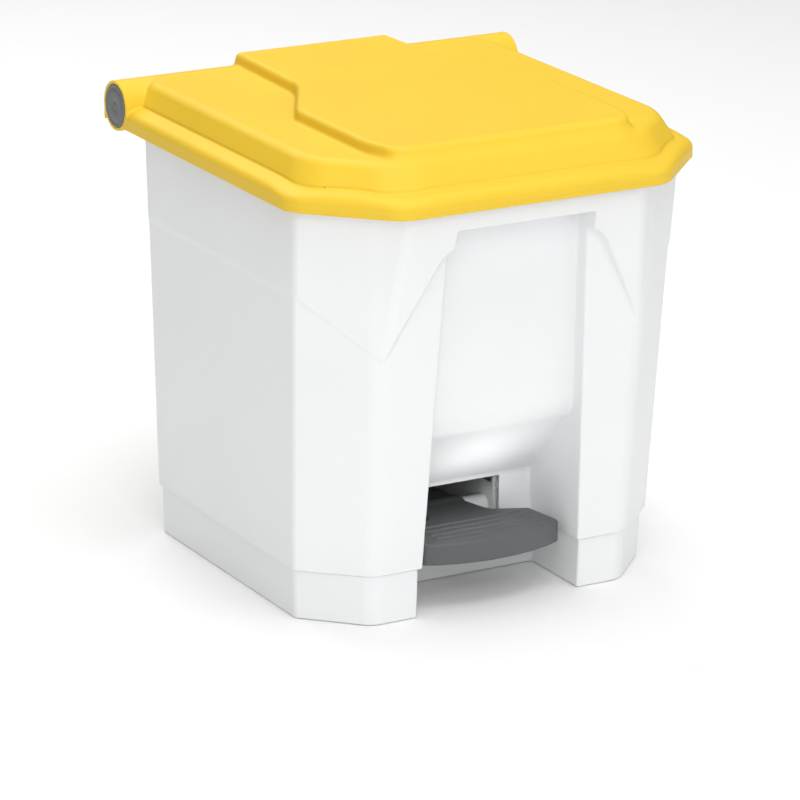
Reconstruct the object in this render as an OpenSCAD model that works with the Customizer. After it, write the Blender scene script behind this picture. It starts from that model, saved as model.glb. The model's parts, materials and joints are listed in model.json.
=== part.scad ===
// Free-standing pedal bin: a tapered tub on a plinth, a lift-out liner, a lid hinged
// on a barrel behind the rear wall, and a foot pedal that lifts the lid by a push rod.
// Frame: X across (left negative), front is -Y, rear is +Y, Z up from the floor.

/* [Overall] */
// Width over the lid
overall_w = 410; // [406:1:414]
// Height of the lid's raised centre above the floor
overall_h = 434; // [432:1:438]
// Wall thickness of the tub, plinth and lid
wall = 3.2; // [2.6:0.1:3.6]

/* [Tub] */
// Half width of the tub at its rim
tub_top_w = 192.5; // [192:0.25:193]
// Half width of the tub at the plinth
tub_foot_w = 181.5; // [180:0.5:183]
// Distance from the centre to the front of the shoulder at the rim
shoulder_front = 200; // [198:0.5:201]
// Distance from the centre to the front of the legs at the plinth
tub_foot_front = 158; // [157:0.5:159]
// Distance from the centre to the rear wall
tub_rear = 162; // [161.5:0.5:162.5]
// Height of the plinth
plinth_h = 46.4; // [44:0.2:47]

/* [Foot well] */
// Depth of the front panel behind the legs
panel_depth = 16; // [15:0.5:17]
// Half width of the opening in the well's back wall
slot_half_w = 47; // [46:1:48]

/* [Pedal and lift] */
// Angle the lid opens
lid_open_deg = 70; // [60:1:70]
// Thickness of the pedal plate
pedal_t = 20; // [18:1:20]
// Diameter of the push rod
push_rod_d = 6; // [5:0.5:6]
// Diameter of the hinge rod and of the pedal axle
shaft_d = 8; // [7:0.5:8]

/* [Hidden] */
$fn = 48;

WHITE = "#f3f3f1";
YELLOW = "#f6c92c";
GREY = "#6c6e70";
STEEL = "#b9bcc0";
NATURAL = "#e6e2d4";
BLACK = "#2b2b2d";

eps = 0.01;
far = 300;
run_gap = 0.06;
snug_gap = 0.02;

// Heights
rim_z = 388;
rim_t = 4;
rim_lip = 5.5;
skirt_z = 383;
rim_top_z = 398;
plateau_z = 423;

// Hinge
barrel_r = 23;
barrel_bore_r = 20;
axis_y = 189.5;
axis_z = 400;
shaft_r = shaft_d / 2;

// Lift linkage: the rod slides straight up, a pin at each end rides in a slot
rod_y = 148;
rod_r = push_rod_d / 2;
half_open = lid_open_deg / 2;
crank_reach = axis_y - rod_y;
half_travel = crank_reach * tan(half_open);
top_pin_z = axis_z - half_travel;
pivot_y = -45;
pivot_z = 52;
lever_reach = rod_y - pivot_y;
low_pin_z = pivot_z - half_travel;
lever_drop = atan(half_travel / lever_reach);
pin_r = 2.5;
tongue_half = 4;
ear_gap_half = 5;
ear_half = 9;
fork_half_y = 6;

// Hinge bracket places
bracket_x = 130;
bracket_half = 8;
notch_half = 12;
plate_half = 18;

// Screws
screw_r = 2;
screw_head_r = 4;
screw_head_t = 2.5;

// Front of the legs at a height
leg_slope = 0.07;
function front_y(z) = -(tub_foot_front + leg_slope * (z - plinth_h));
function mix(a, b, t) = a + (b - a) * t;

// Plan outline: front corners cut by cut_x and cut_y, rounded rear corners
corner_step = 22.5;
function cut_outline(w, front, rear, cut_x, cut_y, round_r) = concat(
    [[cut_x - w, -front], [w - cut_x, -front], [w, cut_y - front]],
    [for (a = [0:corner_step:90]) [w - round_r + round_r * cos(a), rear - round_r + round_r * sin(a)]],
    [for (a = [90:corner_step:180]) [round_r - w + round_r * cos(a), rear - round_r + round_r * sin(a)]],
    [[-w, cut_y - front]]
);
function outline(w, front, rear, cham, round_r) = cut_outline(w, front, rear, cham, cham, round_r);
// Part of an inset by which a 45 degree cut shrinks
cut_share = 0.59;

module plate_at(z, points) {
    translate([0, 0, z]) linear_extrude(eps) polygon(points);
}

// The legs' solid outer form up to the rim, moved in by inset
rear_round = 12;
leg_cut_x = [53.5, 62];
leg_cut_y = [49, 53];
module tub_form(z0, z1, inset) {
    function share(z) = (z - plinth_h) / (rim_z - plinth_h);
    function section(z) = cut_outline(
        mix(tub_foot_w, tub_top_w, share(z)) - inset, -front_y(z) - inset, tub_rear - inset,
        mix(leg_cut_x[0], leg_cut_x[1], share(z)) - cut_share * inset,
        mix(leg_cut_y[0], leg_cut_y[1], share(z)) - cut_share * inset, rear_round - inset);
    hull() {
        plate_at(z0, section(z0));
        plate_at(z1 - eps, section(z1));
    }
}

// The shoulder's solid outer form: it leans forward from the point of the V up to the rim
v_point_x = 129;
v_point_z = 247.5;
shoulder_z = 240;
shoulder_side = 0.4;
shoulder_low = [187.9, 172.7, 58, 51.2];
shoulder_cut = [60, 67.6];
module shoulder_form(z1, inset) {
    hull() {
        plate_at(shoulder_z, cut_outline(
            shoulder_low[0] - shoulder_side - inset, shoulder_low[1] - inset, tub_rear - 1 - inset,
            shoulder_low[2] - cut_share * inset, shoulder_low[3] - cut_share * inset, rear_round - inset));
        plate_at(z1 - eps, cut_outline(
            tub_top_w - shoulder_side - inset, shoulder_front - inset, tub_rear - 1 - inset,
            shoulder_cut[0] - cut_share * inset, shoulder_cut[1] - cut_share * inset, rear_round - inset));
    }
}

// The recess in the front: panel, 45 degree roof and foot well, grown by t on every side
well_back_y = -75;
well_top_z = 91;
roof_z = 167;
recess_top_z = 361;
recess_foot_half = 81;
recess_taper = 0.034;
roof_grow = 0.43;
module recess_form(t) {
    panel_low_y = front_y(roof_z) + panel_depth;
    panel_top_y = front_y(recess_top_z) + panel_depth;
    top_half = recess_foot_half - recess_taper * recess_top_z + t;
    intersection() {
        translate([-far, 0, 0]) rotate([90, 0, 90]) linear_extrude(2 * far) polygon([
            [-far, -1], [well_back_y + t, -1], [well_back_y + t, well_top_z + roof_grow * t],
            [panel_low_y + t, roof_z + roof_grow * t], [panel_top_y + t, recess_top_z + t],
            [-far, recess_top_z + t]
        ]);
        rotate([90, 0, 0]) linear_extrude(far) polygon([
            [-recess_foot_half - t, -2], [recess_foot_half + t, -2],
            [top_half, recess_top_z + 2 * t], [-top_half, recess_top_z + 2 * t]
        ]);
    }
}

// Region of the shoulder seen from the front: a V on each side, raised by lift
v_side = [190, 303];
v_neck = [[80.4, 339], [69, 345.4]];
module shoulder_region(lift) {
    side = 200;
    translate([0, 0, lift]) rotate([90, 0, 0]) linear_extrude(far) polygon([
        [-side, v_side[1]], [-v_side[0], v_side[1]], [-v_point_x, v_point_z],
        [-v_neck[0][0], v_neck[0][1]], [-v_neck[1][0], v_neck[1][1]],
        [v_neck[1][0], v_neck[1][1]], [v_neck[0][0], v_neck[0][1]],
        [v_point_x, v_point_z], v_side, [side, v_side[1]], [side, rim_z + 20], [-side, rim_z + 20]
    ]);
}

module pedal_slot(z0, z1) {
    translate([-slot_half_w, well_back_y - 1, z0])
        cube([2 * slot_half_w, wall + 2, z1 - z0]);
}

module y_cylinder(x, y0, y1, z, r) {
    translate([x, y0, z]) rotate([-90, 0, 0]) cylinder(h = y1 - y0, r = r);
}

module x_cylinder(x0, x1, y, z, r) {
    translate([x0, y, z]) rotate([0, 90, 0]) cylinder(h = x1 - x0, r = r);
}

hinge_screw_z = [336, 356];
guide_z = [120, 330];
guide_half_h = 8;
guide_screw_x = 11;
boss_r = 6;
boss_depth = 10;
block_screw_x = [54, 70];
block_screw_z = 76;
block_boss_end = -63;

region_lift = 6;
module body_shell() {
    color(WHITE) difference() {
        union() {
            difference() {
                union() {
                    tub_form(plinth_h, rim_z, 0);
                    intersection() {
                        shoulder_form(rim_z - rim_t / 2, 0);
                        shoulder_region(0);
                    }
                    intersection() {
                        translate([0, 0, rim_z - rim_t]) linear_extrude(rim_t)
                            polygon(cut_outline(tub_top_w + rim_lip, shoulder_front + rim_lip - 1.5,
                                                tub_rear, 63, 70, rear_round));
                        translate([-far, -far, 0]) cube([2 * far, far + 140, far + 200]);
                    }
                }
                recess_form(0);
                difference() {
                    union() {
                        tub_form(plinth_h - 1, rim_z + 1, wall);
                        intersection() {
                            shoulder_form(rim_z + 1, wall);
                            shoulder_region(region_lift);
                        }
                    }
                    recess_form(wall);
                }
            }
            for (side = [-1, 1], z = hinge_screw_z)
                y_cylinder(side * bracket_x, tub_rear - wall - boss_depth, tub_rear - 1, z, boss_r);
            for (side = [-1, 1], x = block_screw_x)
                y_cylinder(side * x, well_back_y + 1, block_boss_end, block_screw_z, boss_r);
        }
        pedal_slot(plinth_h - 1, 88);
        for (side = [-1, 1], z = hinge_screw_z)
            y_cylinder(side * bracket_x, tub_rear - 11, tub_rear + 1, z, screw_r + snug_gap);
        for (side = [-1, 1], x = block_screw_x)
            y_cylinder(side * x, well_back_y + 1.2, block_boss_end + 1, block_screw_z, screw_r + snug_gap);
        for (x = [-guide_screw_x, guide_screw_x], z = guide_z)
            y_cylinder(x, tub_rear - wall - 1, tub_rear + 1, z, screw_r + 0.2);
        translate([-12, tub_rear - wall - 1, 360]) cube([24, wall + 2, 40]);
    }
}

plinth_inset = 2.6;
plinth_foot = [177.2, 153.6];
plinth_rear = 160;
plinth_cut = [50, 50.5];
plinth_round = 11;
well_half_plinth = 82.3;
foot_flange = 12;
module plinth_form(z0, z1, inset) {
    hull() {
        plate_at(z0, outline(plinth_foot[0] - inset, plinth_foot[1] - inset, plinth_rear - inset,
                             plinth_cut[0] - cut_share * inset, plinth_round - inset));
        plate_at(z1 - eps, outline(tub_foot_w - plinth_inset - inset, tub_foot_front - plinth_inset - inset,
                                   plinth_rear - inset, plinth_cut[1] - cut_share * inset,
                                   plinth_round - inset));
    }
}

module plinth_well(t) {
    translate([-well_half_plinth - t, -far, -1])
        cube([2 * (well_half_plinth + t), far + well_back_y + t, plinth_h + 2]);
}

module base_plinth() {
    lip_h = 12;
    lip_t = 2.4;
    color(WHITE) difference() {
        union() {
            difference() {
                plinth_form(0, plinth_h, 0);
                plinth_well(0);
                difference() {
                    translate([0, 0, -1]) plinth_form(0, plinth_h + 2, wall);
                    plinth_well(wall);
                }
            }
            difference() {
                linear_extrude(3) polygon(outline(177, 153.4, 159.8, 50, plinth_round));
                translate([0, 0, -1]) linear_extrude(5)
                    polygon(outline(177 - foot_flange, 153.4 - foot_flange, 159.8 - foot_flange, 43, 16));
                plinth_well(0);
            }
            difference() {
                translate([0, 0, plinth_h - 3]) linear_extrude(3 + lip_h)
                    polygon(outline(tub_foot_w - wall - 0.6, tub_foot_front - wall - 0.6,
                                    tub_rear - wall - 0.6, 51, 25));
                translate([0, 0, plinth_h - 4]) linear_extrude(6 + lip_h)
                    polygon(outline(tub_foot_w - wall - 0.6 - lip_t, tub_foot_front - wall - 0.6 - lip_t,
                                    tub_rear - wall - 0.6 - lip_t, 50, 23));
                translate([-far, -far, 0]) cube([2 * far, far - 60, 100]);
                translate([-16, 140, 0]) cube([32, 40, 100]);
            }
        }
        pedal_slot(30, plinth_h + 1);
    }
}

// Lift-out bucket: side profile, front taper and plan are three crossed prisms
flange_t = 3;
flange_gap = 0.1;
liner_floor_z = 97;
liner_wall = 2.4;
liner_front = 157;
module liner_form(t, z_top) {
    intersection() {
        translate([-far, 0, 0]) rotate([90, 0, 90]) linear_extrude(2 * far) polygon([
            [-liner_front + t, z_top], [-143 + t, 171 + 0.4 * t], [-71 + 0.4 * t, liner_floor_z + t],
            [121 - t, liner_floor_z + t], [128.5 - t, z_top]
        ]);
        rotate([90, 0, 0]) translate([0, 0, -far]) linear_extrude(2 * far) polygon([
            [-166 + t, liner_floor_z], [166 - t, liner_floor_z], [179 - t, z_top], [-179 + t, z_top]
        ]);
        linear_extrude(z_top + 1)
            polygon(outline(179 - t, liner_front - t, 128.5 - t, 58 - cut_share * t, 30 - t));
    }
}

module liner_bucket() {
    color(NATURAL) difference() {
        union() {
            liner_form(0, rim_z);
            translate([0, 0, rim_z + flange_gap]) linear_extrude(flange_t)
                polygon(cut_outline(194.5, 200, 143, 62, 68, 30));
            translate([0, 0, rim_z - 3]) linear_extrude(4)
                polygon(outline(178.6, liner_front - 0.4, 128.1, 58, 30));
        }
        intersection() {
            liner_form(liner_wall, rim_z + 10);
            translate([-far, -far, 0]) cube([2 * far, 2 * far, rim_z + 10]);
        }
        translate([0, 0, rim_z - 4]) linear_extrude(flange_t + 10)
            polygon(outline(176, liner_front - 3, 125.6, 57, 28));
        translate([-24, 128.6, rim_z - 1]) cube([48, 20, 10]);
    }
}

// Lid outlines from the skirt inwards
function lid_rim(t) = outline(overall_w / 2 - t, 212.5 - t, 172, 74 - 0.59 * t, 3);
function lid_low(t) = outline(189 - t, 196 - t, 176, 61.5 - 0.59 * t, 3);
function lid_top(t) = outline(178 - t, 178 - t, 182, 55 - 0.59 * t, 3);

module lid_form(t) {
    z_cut = t;
    translate([0, 0, skirt_z - (t > 0 ? 2 : 0)]) linear_extrude(rim_top_z - skirt_z - z_cut + (t > 0 ? 2 : 0))
        polygon(lid_rim(t));
    hull() {
        plate_at(rim_top_z - z_cut - 0.5, lid_low(t));
        plate_at(plateau_z - z_cut, lid_top(t));
    }
    hull() {
        plate_at(400, [[-134 + t, -20 + t], [-134 + t, -150], [-112, -188 + t], [112, -188 + t],
                       [134 - t, -150], [134 - t, -20 + t], [90 - t, 60], [-90 + t, 60]]);
        plate_at(overall_h - z_cut - eps, [[-127 + t, -10 + t], [-127 + t, -150], [-106, -171 + t],
                                           [106, -171 + t], [127 - t, -150], [127 - t, -10 + t],
                                           [84 - t, 56], [-84 + t, 56]]);
    }
    hull() {
        plate_at(400, [[-90 + t, 40], [90 - t, 40], [82 - t, 203 - t], [-82 + t, 203 - t]]);
        plate_at(overall_h - z_cut - eps, [[-84 + t, 40], [84 - t, 40],
                                           [75 - t, 197 - t], [-75 + t, 197 - t]]);
    }
}

web_x = [104, 156];
web_t = 8;
skirt_t = 2.5;
module lid_shell() {
    inner_rear_y = 164;
    color(YELLOW) difference() {
        union() {
            difference() {
                union() {
                    lid_form(0);
                    x_cylinder(-overall_w / 2, overall_w / 2, axis_y, axis_z, barrel_r);
                    // skirt hanging from the back of the barrel
                    translate([-overall_w / 2, axis_y + barrel_r - skirt_t - 0.2, skirt_z + 0.5])
                        cube([overall_w, skirt_t, axis_z - skirt_z - 0.5]);
                }
                intersection() {
                    lid_form(wall);
                    translate([-far, -far, 0]) cube([2 * far, far + inner_rear_y, far + 200]);
                }
                x_cylinder(-overall_w / 2 - 1, overall_w / 2 + 1, axis_y, axis_z, barrel_bore_r);
            }
            for (side = [-1, 1], x = web_x)
                x_cylinder(side * x - web_t / 2, side * x + web_t / 2, axis_y, axis_z, barrel_bore_r + 1);
        }
        x_cylinder(-overall_w / 2 - 1, overall_w / 2 + 1, axis_y, axis_z, shaft_r + snug_gap);
        // slots for the hinge brackets, open below and behind
        for (side = [-1, 1]) {
            translate([side * bracket_x - notch_half, inner_rear_y - 2, 370])
                cube([2 * notch_half, 60, 30]);
            translate([side * bracket_x - notch_half, axis_y, 380])
                cube([2 * notch_half, 40, 26]);
        }
        // clear the tub's rear edge below the lid
        translate([-overall_w / 2 + wall, inner_rear_y - 30, 370]) cube([overall_w - 2 * wall, 30, 24]);
        for (x = [-crank_screw_x, crank_screw_x])
            translate([x, crank_screw_y, crank_pad_z - 1]) cylinder(h = 3, r = screw_r * 0.8 + snug_gap);
    }
}

module hinge_rod() {
    color(STEEL) x_cylinder(-190, 190, axis_y, axis_z, shaft_r);
}

module hinge_cap(side) {
    face = overall_w / 2;
    color(GREY) difference() {
        union() {
            x_cylinder(face - 3, face, axis_y, axis_z, barrel_bore_r - snug_gap);
            x_cylinder(face - 13, face - 2, axis_y, axis_z, barrel_bore_r - 0.4);
        }
        x_cylinder(face - 14, face - 3, axis_y, axis_z, barrel_bore_r - 3);
    }
}

module hinge_cap_left() {
    mirror([1, 0, 0]) hinge_cap(1);
}

module hinge_cap_right() {
    hinge_cap(1);
}

bush_r = 6;
module hinge_bracket(x) {
    plate_t = 4;
    plate_top = 368;
    color(WHITE) difference() {
        union() {
            translate([x - plate_half, tub_rear, 324]) cube([2 * plate_half, plate_t, plate_top - 324]);
            translate([x - bracket_half, 0, 0]) rotate([90, 0, 90]) linear_extrude(2 * bracket_half) polygon([
                [tub_rear, 340], [tub_rear + plate_t, 340], [axis_y + 4, 382], [axis_y + 8, axis_z],
                [axis_y - 8, axis_z], [axis_y - 10, 392], [tub_rear, 362]
            ]);
            x_cylinder(x - bracket_half, x + bracket_half, axis_y, axis_z, 10);
        }
        x_cylinder(x - bracket_half - 1, x + bracket_half + 1, axis_y, axis_z, bush_r + snug_gap);
        for (z = hinge_screw_z)
            y_cylinder(x, tub_rear - 1, tub_rear + 40, z, screw_r + 0.2);
        for (z = hinge_screw_z)
            y_cylinder(x, tub_rear + plate_t, tub_rear + 40, z, screw_head_r + 0.5);
    }
}

module hinge_bracket_left() {
    hinge_bracket(-bracket_x);
}

module hinge_bracket_right() {
    hinge_bracket(bracket_x);
}

module bush(x0, x1, y, z, r) {
    difference() {
        x_cylinder(x0, x1, y, z, r);
        x_cylinder(x0 - 1, x1 + 1, y, z, shaft_r + run_gap);
    }
}

module hinge_bushes() {
    color(NATURAL) for (x = [-bracket_x, bracket_x])
        bush(x - bracket_half, x + bracket_half, axis_y, axis_z, bush_r);
}

// Pan-head screw along -Y, its head's underside at y
module rear_screw(x, y, z, length) {
    y_cylinder(x, y, y + screw_head_t, z, screw_head_r);
    y_cylinder(x, y - length, y, z, screw_r);
}

module hinge_screws() {
    color(STEEL) for (x = [-bracket_x, bracket_x], z = hinge_screw_z)
        rear_screw(x, tub_rear + 4, z, 14);
}

crank_pad_z = overall_h - wall;
crank_pad_t = 4;
crank_screw_x = 14;
crank_screw_y = 135;
slot_half = 4.2;
slot_in = crank_reach;
slot_out = crank_reach / cos(half_open);
function crank_point(along, across) = [
    axis_y - along * cos(half_open) + across * sin(half_open),
    axis_z - along * sin(half_open) - across * cos(half_open)
];
module lift_crank() {
    edge = slot_half + 3.6;
    tip = slot_out + 8;
    color(GREY) difference() {
        union() {
            translate([-22, 122, crank_pad_z - crank_pad_t]) cube([44, 38, crank_pad_t - 0.05]);
            translate([-tongue_half, 0, 0]) rotate([90, 0, 90]) linear_extrude(2 * tongue_half) polygon([
                [124, crank_pad_z - 1], [158, crank_pad_z - 1], [161, 410],
                crank_point(slot_in - 8, 0), crank_point(slot_in - 6, edge),
                crank_point(tip - 3, edge), crank_point(tip, edge - 4), crank_point(tip, 4 - edge),
                [128, 410]
            ]);
        }
        translate([0, axis_y, axis_z]) rotate([half_open, 0, 0]) {
            for (along = [slot_in, slot_out])
                translate([-10, -along, 0]) rotate([0, 90, 0]) cylinder(h = 20, r = slot_half);
            translate([-10, -slot_out, -slot_half]) cube([20, slot_out - slot_in, 2 * slot_half]);
        }
        for (x = [-crank_screw_x, crank_screw_x])
            translate([x, crank_screw_y, crank_pad_z - 10]) cylinder(h = 20, r = screw_r + 0.2);
    }
}

module crank_screws() {
    color(STEEL) for (x = [-crank_screw_x, crank_screw_x]) translate([x, crank_screw_y, 0]) {
        translate([0, 0, crank_pad_z - crank_pad_t - screw_head_t])
            cylinder(h = screw_head_t, r = screw_head_r);
        translate([0, 0, crank_pad_z - crank_pad_t]) cylinder(h = crank_pad_t + 1.8, r = screw_r * 0.8);
    }
}

// Clevis pin with a head on the left and a groove clip on the right
module clevis_pin(z) {
    x_cylinder(-ear_half - 2, -ear_half, rod_y, z, pin_r + 1.5);
    x_cylinder(-ear_half, ear_half + 3, rod_y, z, pin_r);
}

module pin_clip(z) {
    difference() {
        x_cylinder(ear_half + 0.1, ear_half + 1.3, rod_y, z, pin_r + 2.5);
        x_cylinder(ear_half - 1, ear_half + 3, rod_y, z, pin_r + snug_gap);
    }
}

module crank_pin() {
    color(STEEL) clevis_pin(top_pin_z);
}

module crank_pin_clip() {
    color(BLACK) pin_clip(top_pin_z);
}

module rod_pin() {
    color(STEEL) clevis_pin(low_pin_z);
}

module rod_pin_clip() {
    color(BLACK) pin_clip(low_pin_z);
}

fork_gap_depth = 14.5;
fork_block = 14;
ear_over = 7;
rod_socket = 10;
// Fork with its ears up: the pin is above the block
module fork_up(pin_z) {
    difference() {
        translate([-ear_half, rod_y - fork_half_y, pin_z - fork_gap_depth - fork_block])
            cube([2 * ear_half, 2 * fork_half_y, fork_gap_depth + fork_block + ear_over]);
        translate([-ear_gap_half, rod_y - fork_half_y - 1, pin_z - fork_gap_depth])
            cube([2 * ear_gap_half, 2 * fork_half_y + 2, fork_gap_depth + ear_over + 1]);
        x_cylinder(-ear_half - 1, ear_half + 1, rod_y, pin_z, pin_r + snug_gap);
        translate([0, rod_y, pin_z - fork_gap_depth - fork_block - 1])
            cylinder(h = rod_socket + 1, r = rod_r + snug_gap);
    }
}

module rod_fork_upper() {
    color(GREY) fork_up(top_pin_z);
}

module rod_fork_lower() {
    color(GREY) translate([0, 0, 2 * low_pin_z]) mirror([0, 0, 1]) fork_up(low_pin_z);
}

module lift_rod() {
    z0 = low_pin_z + fork_gap_depth + fork_block - rod_socket;
    z1 = top_pin_z - fork_gap_depth - fork_block + rod_socket;
    color(STEEL) translate([0, rod_y, z0]) cylinder(h = z1 - z0, r = rod_r);
}

module rod_guide(z) {
    y0 = rod_y - 6.5;
    y1 = tub_rear - wall;
    color(NATURAL) difference() {
        translate([-18, y0, z - guide_half_h]) cube([36, y1 - y0, 2 * guide_half_h]);
        translate([0, rod_y, z - guide_half_h - 1]) cylinder(h = 2 * guide_half_h + 2, r = rod_r + run_gap);
        for (x = [-guide_screw_x, guide_screw_x])
            y_cylinder(x, y1 - 9, y1 + 1, z, screw_r + snug_gap);
    }
}

module rod_guide_upper() {
    rod_guide(guide_z[1]);
}

module rod_guide_lower() {
    rod_guide(guide_z[0]);
}

module guide_screws() {
    color(STEEL) for (x = [-guide_screw_x, guide_screw_x], z = guide_z)
        rear_screw(x, tub_rear, z, 11);
}

arm_half = 23.5;
arm_end_half = 15.5;
arm_end_y = 4;
hub_half = 24;
hub_r = 11;
pedal_top_z = 60;
front_corner_y = -141;
front_bow = 16;
module pedal() {
    bow_r = (71 * 71 + front_bow * front_bow) / (2 * front_bow);
    bow_cy = front_corner_y - front_bow + bow_r;
    slot_end = lever_reach / cos(lever_drop) + 0.3;
    slot_start = lever_reach - 0.3;
    slot_r = pin_r + 0.4;
    tip = slot_end + slot_r + 2.6;
    tongue_plan = [[-arm_half, -10], [arm_half, -10], [16, 60], [11, 120], [tongue_half, 150],
                   [tongue_half, tip], [-tongue_half, tip], [-tongue_half, 150], [-11, 120], [-16, 60]];
    color(GREY) difference() {
        union() {
            // tread plate with a bowed front edge
            translate([0, 0, pedal_top_z - pedal_t]) intersection() {
                linear_extrude(pedal_t) polygon([
                    [-71, front_corner_y], [-71, front_corner_y - 20], [71, front_corner_y - 20],
                    [71, front_corner_y], [64.5, -98], [60, -94.5], [36, -86], [31.5, -82.5],
                    [29.5, -77], [24, -57], [arm_half, pivot_y - 9], [arm_half, pivot_y + 9],
                    [arm_end_half, arm_end_y], [-arm_end_half, arm_end_y],
                    [-arm_half, pivot_y + 9], [-arm_half, pivot_y - 9], [-24, -57], [-29.5, -77],
                    [-31.5, -82.5], [-36, -86], [-60, -94.5], [-64.5, -98]
                ]);
                translate([0, bow_cy, -1]) cylinder(h = pedal_t + 2, r = bow_r, $fn = 96);
            }
            // grip ribs
            for (i = [0:4])
                translate([-52, -145 + i * 10, pedal_top_z - 0.5]) cube([104, 3, 1.5]);
            x_cylinder(-hub_half, hub_half, pivot_y, pivot_z, hub_r);
            // lever running down to the rear
            translate([0, pivot_y, pivot_z]) rotate([-lever_drop, 0, 0]) translate([0, 0, -7])
                linear_extrude(14) polygon(tongue_plan);
        }
        x_cylinder(-hub_half - 1, hub_half + 1, pivot_y, pivot_z, bush_r + snug_gap);
        translate([0, pivot_y, pivot_z]) rotate([-lever_drop, 0, 0]) {
            for (along = [slot_start, slot_end])
                translate([-20, along, 0]) rotate([0, 90, 0]) cylinder(h = 40, r = slot_r);
            translate([-20, slot_start, -slot_r]) cube([40, slot_end - slot_start, 2 * slot_r]);
        }
    }
}

module pedal_bushes() {
    color(NATURAL) {
        bush(-hub_half, -hub_half + 16, pivot_y, pivot_z, bush_r);
        bush(hub_half - 16, hub_half, pivot_y, pivot_z, bush_r);
    }
}

module pedal_axle() {
    color(STEEL) x_cylinder(-69, 69, pivot_y, pivot_z, shaft_r);
}

block_x0 = 50;
block_x1 = 64;
block_boss_r = 9;
cheek_l = 110;
module axle_block() {
    color(WHITE) difference() {
        union() {
            translate([block_x0, block_boss_end, pivot_z - 11]) cube([block_x1 - block_x0, 30, 36]);
            translate([47.5, block_boss_end, block_screw_z - 8]) cube([30, 4, 18]);
            // boss that holds the axle close to the pedal's hub
            x_cylinder(hub_half + 0.5, block_x0 + 1, pivot_y, pivot_z, block_boss_r);
            // cheek that closes the side of the pedal's slot
            translate([block_x0 - 2.5, block_boss_end + 1, pivot_z - 10.5]) cube([3, cheek_l, 34]);
        }
        x_cylinder(hub_half, block_x1 + 1, pivot_y, pivot_z, shaft_r + snug_gap);
        for (x = block_screw_x)
            y_cylinder(x, block_boss_end - 1, block_boss_end + 5, block_screw_z, screw_r + 0.2);
        for (x = block_screw_x)
            y_cylinder(x, block_boss_end + 4, block_boss_end + 40, block_screw_z, screw_head_r + 0.5);
    }
}

module axle_block_right() {
    axle_block();
}

module axle_block_left() {
    mirror([1, 0, 0]) axle_block();
}

module axle_block_screws() {
    color(STEEL) for (side = [-1, 1], x = block_screw_x)
        rear_screw(side * x, block_boss_end + 4, block_screw_z, 12);
}

module axle_clips() {
    color(BLACK) for (side = [-1, 1]) difference() {
        x_cylinder(side * 65 - 0.6, side * 65 + 0.6, pivot_y, pivot_z, shaft_r + 3);
        x_cylinder(side * 65 - 2, side * 65 + 2, pivot_y, pivot_z, shaft_r + snug_gap);
    }
}

// Soft stops under the lid's rim, over the liner's flange
buffer_z = rim_z + flange_gap + flange_t + 0.2;
module lid_buffers() {
    color(BLACK) for (side = [-1, 1], y = [-110, 90])
        translate([side * 190, y, buffer_z]) cylinder(h = rim_top_z - wall - buffer_z, r = 3.4);
}

body_shell();
base_plinth();
liner_bucket();
lid_shell();
hinge_rod();
hinge_cap_left();
hinge_cap_right();
hinge_bracket_left();
hinge_bracket_right();
hinge_bushes();
hinge_screws();
lift_crank();
crank_screws();
crank_pin();
crank_pin_clip();
rod_fork_upper();
lift_rod();
rod_fork_lower();
rod_pin();
rod_pin_clip();
rod_guide_upper();
rod_guide_lower();
guide_screws();
pedal();
pedal_bushes();
pedal_axle();
axle_block_left();
axle_block_right();
axle_block_screws();
axle_clips();
lid_buffers();
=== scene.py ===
import json
import math

import bmesh
import bpy
import numpy as np
from mathutils import Matrix, Vector

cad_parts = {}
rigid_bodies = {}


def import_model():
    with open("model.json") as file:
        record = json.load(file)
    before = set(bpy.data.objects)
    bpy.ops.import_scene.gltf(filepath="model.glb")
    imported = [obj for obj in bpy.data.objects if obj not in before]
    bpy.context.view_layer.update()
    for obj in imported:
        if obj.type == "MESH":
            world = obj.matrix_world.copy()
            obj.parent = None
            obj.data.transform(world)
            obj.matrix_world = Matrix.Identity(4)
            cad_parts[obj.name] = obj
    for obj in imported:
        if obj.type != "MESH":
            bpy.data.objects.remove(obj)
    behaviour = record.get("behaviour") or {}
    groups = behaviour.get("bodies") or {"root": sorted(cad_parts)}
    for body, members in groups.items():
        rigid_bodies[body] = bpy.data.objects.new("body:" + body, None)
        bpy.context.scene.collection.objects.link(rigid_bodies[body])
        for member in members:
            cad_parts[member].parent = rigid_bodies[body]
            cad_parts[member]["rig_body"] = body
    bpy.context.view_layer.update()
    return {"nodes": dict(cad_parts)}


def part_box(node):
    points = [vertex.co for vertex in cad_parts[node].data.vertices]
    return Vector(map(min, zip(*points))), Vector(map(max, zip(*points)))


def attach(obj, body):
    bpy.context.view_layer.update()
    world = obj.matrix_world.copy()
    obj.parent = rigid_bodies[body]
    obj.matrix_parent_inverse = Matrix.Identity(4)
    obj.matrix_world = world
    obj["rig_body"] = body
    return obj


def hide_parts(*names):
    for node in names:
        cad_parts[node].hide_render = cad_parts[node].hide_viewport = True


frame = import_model()
nodes = frame["nodes"]
MM = 0.001


def box_mm(node):
    """The node's lowest and highest corners in millimetres."""
    lo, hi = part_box(node)
    return np.array(lo) / MM, np.array(hi) / MM


# ---------------------------------------------------------------- camera
CAMERA_AT = (-1.97656, -3.46959, 1.44042)
CAMERA_TURN = (-29.49, 17.98, 0.5)
SENSOR = 36
LENS = 208.81


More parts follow.
